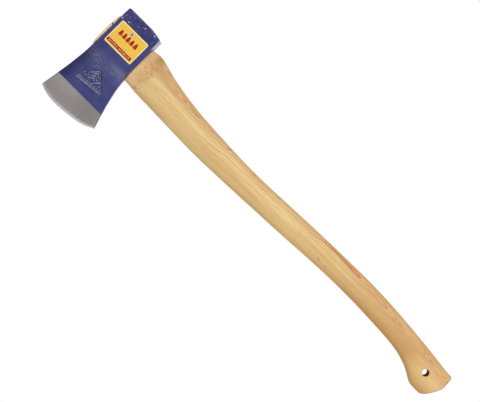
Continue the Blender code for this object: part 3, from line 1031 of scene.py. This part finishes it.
def haft_ring(z, inset=0.0):
    """A ring round the haft. Below KNOB_TILT_FROM the rings tilt, to end along the knob's sawn end."""
    share = max(0.0, (KNOB_TILT_FROM - z) / (KNOB_TILT_FROM - HAFT_END))

    def drop(x):
        return mix(KNOB_TILT_FROM, knob_floor(x), share) if share else np.broadcast_to(z, np.shape(x))

    front = front_outline(max(float(drop(KNOB_TOE_X)), FRONT[0][0])) + inset
    back = back_outline(max(float(drop(0.0)), BACK[0][0])) - inset
    half = half_thickness(z) - inset
    ring = oval(z, (back - front) / 2, half, (back + front) / 2, HAFT_POWER, HAFT_COUNT)
    ring[:, 2] = drop(ring[:, 0])
    return ring


def drawn_in(ring, height, steps):
    """Rings that close in on the middle of this one, at height(x, y)."""
    middle = (ring.max(0) + ring.min(0)) / 2
    rings = []
    for share in np.linspace(1, 0.02, steps)[1:]:
        inner = middle + (ring - middle) * share
        inner[:, 2] = height(inner[:, 0], inner[:, 1])
        rings.append(inner)
    return rings


def tongue_top(x, y):
    """The sawn and filed end of the tongue: highest in the middle and lowest at the back."""
    return 0.0745 - 0.01 * x - 0.9 * x**2 - 3.0 * y**2


def tongue_rings(grow, lift, count):
    """The tongue from just under the head's mouth to its domed end."""
    rings = [eye_ring(z, grow, count) for z in spaced((-0.0003, 0.064, 0.004), (0.064, 0.07, 0.001))]
    for sine, drawn in quarter_turn(5):
        ring = eye_ring(0.0715, grow - TONGUE_ROUND * drawn, count)
        ring[:, 2] = tongue_top(ring[:, 0], 0.009) + lift - TONGUE_ROUND * (1 - sine)
        rings.append(ring)
    return rings + drawn_in(rings[-1], lambda x, y: tongue_top(x, y) + lift, 16)


def haft_relief(points, normals):
    """Slight unevenness of a shaped and sanded haft, the scallops where the tongue's cut runs out, and rasp
    marks on the end of the tongue."""
    x, _, z = points.T
    broad = grain(points, (0.03, 0.03, 0.06), 11.0)
    fine = grain(points, (0.004, 0.004, 0.03), 12.0)
    amount = (0.00016 * broad + 0.00003 * fine) * smooth(0.0, -0.004, z)
    scallop = np.abs(np.sin(x / 0.0075 + 0.9)) * 0.004 + 0.002 * grain(points * (1, 1, 0), 0.012, 13.0)
    run_out = -0.0245 + scallop
    cut = smooth(run_out, run_out + 0.0018, z) * smooth(-0.0006, -0.003, z)
    chatter = 0.5 + 0.5 * np.sin((z + 0.25 * x) / 0.00055)
    amount -= cut * (0.00014 + 0.00003 * chatter) * smooth(0.25, 0.7, np.abs(normals[:, 1]))
    top = smooth(0.07, 0.0712, z)
    rasp = grain(points @ turned(25), (0.0009, 0.008, 0.008), 14.0) + 0.6 * grain(points, 0.0035, 15.0, 2)
    return amount + top * 0.00022 * rasp


def turned(degrees):
    """Turns row vectors by this angle about Z."""
    return np.array(Matrix.Rotation(math.radians(degrees), 3, "Z"))


def tapered_block(name, foot, top, z_foot, z_top, centre_x=0.0, materials=()):
    """A block that runs from foot to top, each a (length along X, width along Y)."""
    corners = []
    for (length, width), z in ((foot, z_foot), (top, z_top)):
        for sx, sy in ((-1, -1), (1, -1), (1, 1), (-1, 1)):
            corners.append((centre_x + sx * length / 2, sy * width / 2, z))
    faces = ring_faces(2, 4) + [(0, 1, 2, 3), (4, 5, 6, 7)]
    return cleaned(mesh_of(name, np.array(corners), faces, materials))


def kerf_block(name, gap, materials=()):
    """The kerf wedge's taper, carried on past the end of the tongue."""
    low = kerf_low.z - gap
    slope = (KERF_TOP_WIDTH - KERF_FOOT_WIDTH) / (HAFT_TOP - kerf_low.z)
    high = HAFT_TOP + 0.004
    widths = (KERF_FOOT_WIDTH + 2 * gap, KERF_FOOT_WIDTH + slope * (high - low) + 2 * gap)
    return tapered_block(name, (0.09, widths[0]), (0.09, widths[1]), low, high, materials=materials)


def cross_slot(name):
    """The slot of the cross wedge, carried on past the end of the tongue."""
    low, high = cross_low.z - 0.0003, HAFT_TOP + 0.004
    return tapered_block(name, (0.001, 0.03), (0.0024, 0.03), low, high, CROSS_X)


def hole_cutter():
    """The hanging hole, square through the knob, with a flare at each face."""
    mouth = HOLE_RADIUS + 0.0075
    count = 56
    angle = 2 * math.pi * np.arange(count) / count
    rings = []
    for y, radius in ((-0.02, mouth), (-0.0126, HOLE_RADIUS), (0.0126, HOLE_RADIUS), (0.02, mouth)):
        x = HOLE_AT[0] + radius * np.cos(angle)
        z = HOLE_AT[1] + radius * np.sin(angle)
        rings.append(np.stack([x, np.full(count, y), z], 1))
    faces = ring_faces(len(rings), count)
    faces += [tuple(range(count)), tuple(range(count * (len(rings) - 1), count * len(rings)))]
    return cleaned(mesh_of("hole_cutter", np.array(rings), faces))


def haft_rings():
    """Rings from the middle of the knob's end up to the shoulder."""
    rim = []
    for sine, drawn in quarter_turn(8):
        ring = haft_ring(HAFT_END, KNOB_ROUND * drawn)
        ring[:, 2] += KNOB_ROUND * (1 - sine)
        rim.append(ring)
    rings = (rim + drawn_in(rim[-1], lambda x, y: knob_floor(x), 14))[::-1]
    knob = spaced((HAFT_END + 0.0055, KNOB_TILT_FROM, 0.0018))
    shank = spaced((KNOB_TILT_FROM + 0.0018, -0.034, 0.0022), (-0.034, SHOULDER_FROM, 0.0006))
    rings += [haft_ring(z) for z in (*knob, *shank)]
    for sine, drawn in quarter_turn(5)[1:]:
        rings.append(haft_ring(SHOULDER_FROM + SHOULDER_ROUND * sine, SHOULDER_ROUND * drawn))
    return rings


def make_haft():
    """One piece of wood from the knob to the end of the tongue, with its kerf, slot and hanging hole."""
    haft = loft("haft_wood", haft_rings() + tongue_rings(-0.00012, 0.0, HAFT_COUNT), HAFT_MATERIALS)
    push(haft, haft_relief)
    carve(haft, kerf_block("kerf_cutter", 0.0001), cross_slot("cross_cutter"), hole_cutter())
    centres = vectors(haft.data.polygons, "center")
    points, normals = surface(haft)
    store(haft, "from_pith", (points[:, 0] - back_outline(points[:, 2])) / MM + pith_inside(points[:, 2]))
    store(haft, "ring_taper", ring_taper(points[:, 2]))
    store(haft, "end_grain", smooth(0.25, 0.8, np.abs(normals[:, 2])) * smooth(-0.63, -0.65, points[:, 2]))
    away = np.hypot(centres[:, 0] - HOLE_AT[0], centres[:, 2] - HOLE_AT[1])
    remap(haft, (away < HOLE_RADIUS + 0.0002) & (np.abs(centres[:, 1]) < 0.0128), DRILLED)
    settle(haft, 35, "haft")


def make_kerf_wedge():
    """The wooden wedge, cut to the oval of the eye and filed off with the tongue."""
    wedge = kerf_block("kerf_wedge_wood", 0.0, [wedge_timber])
    carve(wedge, loft("wedge_guide", tongue_rings(-0.0002, -0.0004, 96)), operation="INTERSECT")
    carve(wedge, cross_slot("wedge_cutter"))
    points = surface(wedge)[0]
    store(wedge, "from_pith", points[:, 0] / MM - 40)
    store(wedge, "ring_taper", 0 * points[:, 2])
    settle(wedge, 35, "kerf_wedge")


def hammered(points, _):
    """Dents on the spread end of the cross wedge."""
    return 0.00012 * grain(points, 0.0028, 31.0, 2) * smooth(0.0715, 0.073, points[:, 2])


def make_cross_wedge():
    """The steel wedge, whose end the hammer has spread and dented."""
    reach = (cross_high.y - cross_low.y) / 2
    shank = spaced((cross_low.z, CROSS_SHANK_TOP, 0.0025))
    rises = (shank - cross_low.z) / (CROSS_SHANK_TOP - cross_low.z)
    profile = [(z, mix(0.00025, 0.0009, rise), 0.0002) for z, rise in zip(shank, rises)]
    profile += [(0.0722, 0.00092, 0.0), (0.0729, 0.00096, 0.0)]
    profile += [(0.0733, 0.00092, 0.0002), (0.0735, 0.0008, 0.0005)]
    rings = [oval(z, half, reach - drawn, CROSS_X, 7, 48) for z, half, drawn in profile]
    rings += drawn_in(rings[-1], lambda x, y: np.full(len(x), 0.0736), 6)
    wedge = loft("cross_wedge_steel", rings, [wedge_steel])
    push(wedge, hammered)
    settle(wedge, 40, "cross_wedge")


# ---------------- the label


def rounded(left, low, right, high, radius):
    """The outline of a rectangle with rounded corners."""
    points = []
    corners = ((right, high, 0), (left, high, 90), (left, low, 180), (right, low, 270))
    for x, y, start in corners:
        cx = x - math.copysign(radius, x - (left + right) / 2)
        cy = y - math.copysign(radius, y - (low + high) / 2)
        for angle in np.radians(np.linspace(start, start + 90, 6)):
            points.append((cx + radius * math.cos(angle), cy + radius * math.sin(angle)))
    return points


def diamond(x, y, radius):
    return [(x + radius, y), (x, y + radius), (x - radius, y), (x, y - radius)]


def conifer(x, y, half_width, half_height):
    """A plain three-tiered tree."""
    right = [
        (0.16, -1.0), (0.16, -0.7), (1.0, -0.7), (0.56, -0.12), (0.86, -0.12), (0.42, 0.4), (0.66, 0.4),
    ]
    outline = right + [(0.0, 1.0)] + [(-px, py) for px, py in reversed(right)]
    return [(x + px * half_width, y + py * half_height) for px, py in outline]


def label_print():
    """What is printed, bottom layer first, as (outline, ink), in millimetres right and up from the middle."""
    half_w, half_h = LABEL_HALF_WIDE, LABEL_HALF_HIGH
    layers = [(rounded(-half_w, -half_h, half_w, half_h, 2.6), CREAM)]
    layers.append((rounded(1.5 - half_w, 1.5 - half_h, half_w - 1.5, half_h - 1.5, 1.5), YELLOW))
    layers.append((rounded(-26.2, -17.6, 23.6, -12.2, 1.4), RED))
    for start, count in ((-22.6, 6), (-1.4, 7)):
        for i in range(count):
            wide = 1.5 if i % 3 else 2.2
            left = start + i * 3.2
            layers.append((rounded(left, -16.0, left + wide, -14.0, 0.5), PALE))
    for i in range(16):
        left = -21.4 + i * 2.55
        layers.append((rounded(left, -8.5, left + 1.5, -7.3, 0.3), GREY))
    for i in range(5):
        layers.append((conifer(-15.8 + i * 7.6, 5.1, 3.9, 5.6), RED))
    return layers + [(diamond(-2.2, 14.2, 4.9), GREY), (diamond(-2.2, 14.2, 2.4), BROWN)]


def make_label():
    """The sticker: one film, divided along the edges of its print, with its ripples and its thickness."""
    points = []
    outlines = []
    inks = []
    for outline, ink in label_print():
        inks.append(ink)
        outlines.append(list(range(len(points), len(points) + len(outline))))
        points += outline
    half_w, half_h = LABEL_HALF_WIDE - 0.6, LABEL_HALF_HIGH - 0.6
    for across in np.linspace(-half_w, half_w, 38):
        points += [(across, up) for up in np.linspace(-half_h, half_h, 28)]
    places = [Vector(point) for point in points]
    places, _, faces, _, _, owners = geometry.delaunay_2d_cdt(places, [], outlines, 1, 1e-5, True)
    flat = np.array(places)
    film = np.zeros((len(flat), 3))
    film[:, 0] = LABEL_CENTRE[0] + flat[:, 1] * MM
    film[:, 2] = LABEL_CENTRE[1] - flat[:, 0] * MM
    film[:, 1] = label_high.y - 0.0001 + 0.00006 * grain(film, 0.014, 41.0)
    label = mesh_of("label_film", film, faces, LABEL_MATERIALS)
    label.data.polygons.foreach_set("material_index", [inks[max(owner, default=0)] for owner in owners])
    sheet = label.modifiers.new("thickness", "SOLIDIFY")
    sheet.thickness = LABEL_THICKNESS
    sheet.offset = math.copysign(1, label.data.polygons[0].normal.y)
    apply_modifiers(label)
    cleaned(label)
    settle(label, 30, "label")


# ---------------- floor, light, camera


def make_floor():
    """A pale round floor, which fades into the white of the studio."""
    g = Material("pale_floor")
    x, y, _ = g.place()
    away = g.math("SQRT", g.multiply_add(x, x, g.times(y, y)))
    glow = g.ramp(away, *FLOOR_FADE, 0.3, 1.0)
    g.colour = g.blend(g.ramp(away, *FLOOR_FADE), (0.8, 0.8, 0.8), (0.0, 0.0, 0.0))
    mesh = bpy.data.meshes.new("floor")
    bm = bmesh.new()
    bmesh.ops.create_circle(bm, cap_ends=True, segments=128, radius=FLOOR_RADIUS)
    bm.to_mesh(mesh)
    bm.free()
    mesh.materials.append(g.finish(Roughness=0.9, Emission_Strength=glow, Emission_Color=(1, 1, 1)))
    floor = linked("floor", mesh)
    floor.location.z = FLOOR_Z


def add_softbox(name, place, target, size, watts):
    data = bpy.data.lights.new(name, "AREA")
    data.shape = "RECTANGLE"
    data.size, data.size_y = size
    data.energy = watts
    light = linked(name, data)
    light.location = place
    light.rotation_euler = (Vector(target) - Vector(place)).to_track_quat("-Z", "Y").to_euler()
    light.visible_camera = False


def make_light():
    """A white studio that is dim in front of the axe and bright behind it, and three softboxes."""
    world = bpy.data.worlds.new("studio")
    world.use_nodes = True
    g = Graph(world.node_tree)
    direction = g.node("TexCoord", {})["Generated"]
    tilt = g.node("VectorMath", {0: direction, 1: STUDIO_TILT}, operation="DOT_PRODUCT")["Value"]
    seen_directly = g.node("LightPath", {})["Is Camera Ray"]
    strength = g.node("Mix", {0: seen_directly, 2: g.math("ADD", tilt, STUDIO_LEVEL), 3: 1.0})[0]
    background = g.tree.nodes["Background"]
    g.put(background.inputs["Strength"], strength)
    g.put(background.inputs["Color"], (1, 1, 1))
    bpy.context.scene.world = world
    add_softbox("key", (1.75, -1.85, -0.28), (-0.04, 0, -0.28), (1.2, 1.2), 30)
    add_softbox("fill", (-1.6, -1.6, 0.1), (-0.04, 0, -0.1), (0.9, 1.1), 16)
    add_softbox("back", (0.6, 2.4, 0.5), (-0.04, 0, -0.28), (1.4, 1.2), 12)


def make_camera():
    """Square to the blade, and rolled so that the head is up on the left and the knob down on the right."""
    data = bpy.data.cameras.new("camera")
    data.lens = LENS
    camera = linked("camera", data)
    right = Vector((1, 0, -1)).normalized()
    up = Vector((1, 0, 1)).normalized()
    turn = Matrix((right, up, right.cross(up))).transposed()
    camera.matrix_world = Matrix.Translation((VIEW_CENTRE[0], -VIEW_DISTANCE, VIEW_CENTRE[1])) @ turn.to_4x4()
    bpy.context.scene.camera = camera


ENAMEL, GROUND, HONED, BARE = range(4)
HEAD_MATERIALS = [paint_material(), ground_material(), honed_material(), bare_material()]
DRILLED = 1  # its place in HAFT_MATERIALS
haft_timber = timber_material("haft_timber", WOOD_PALE, WOOD_TAN, WOOD_HEART, WOOD_LINE, WOOD_DARK)
HAFT_MATERIALS = [haft_timber, hole_material()]
wedge_timber = timber_material("wedge_timber", WEDGE_PALE, WEDGE_TAN, WEDGE_TAN, WOOD_DARK, WOOD_DARK, False)
wedge_steel = wedge_steel_material()
CREAM, YELLOW, RED, GREY, BROWN, PALE = range(6)
LABEL_MATERIALS = [print_material(name + "_print", colour) for name, colour in INKS.items()]

make_head()
make_haft()
make_kerf_wedge()
make_cross_wedge()
make_label()
make_floor()
make_light()
make_camera()
bpy.context.scene.view_settings.view_transform = "Standard"
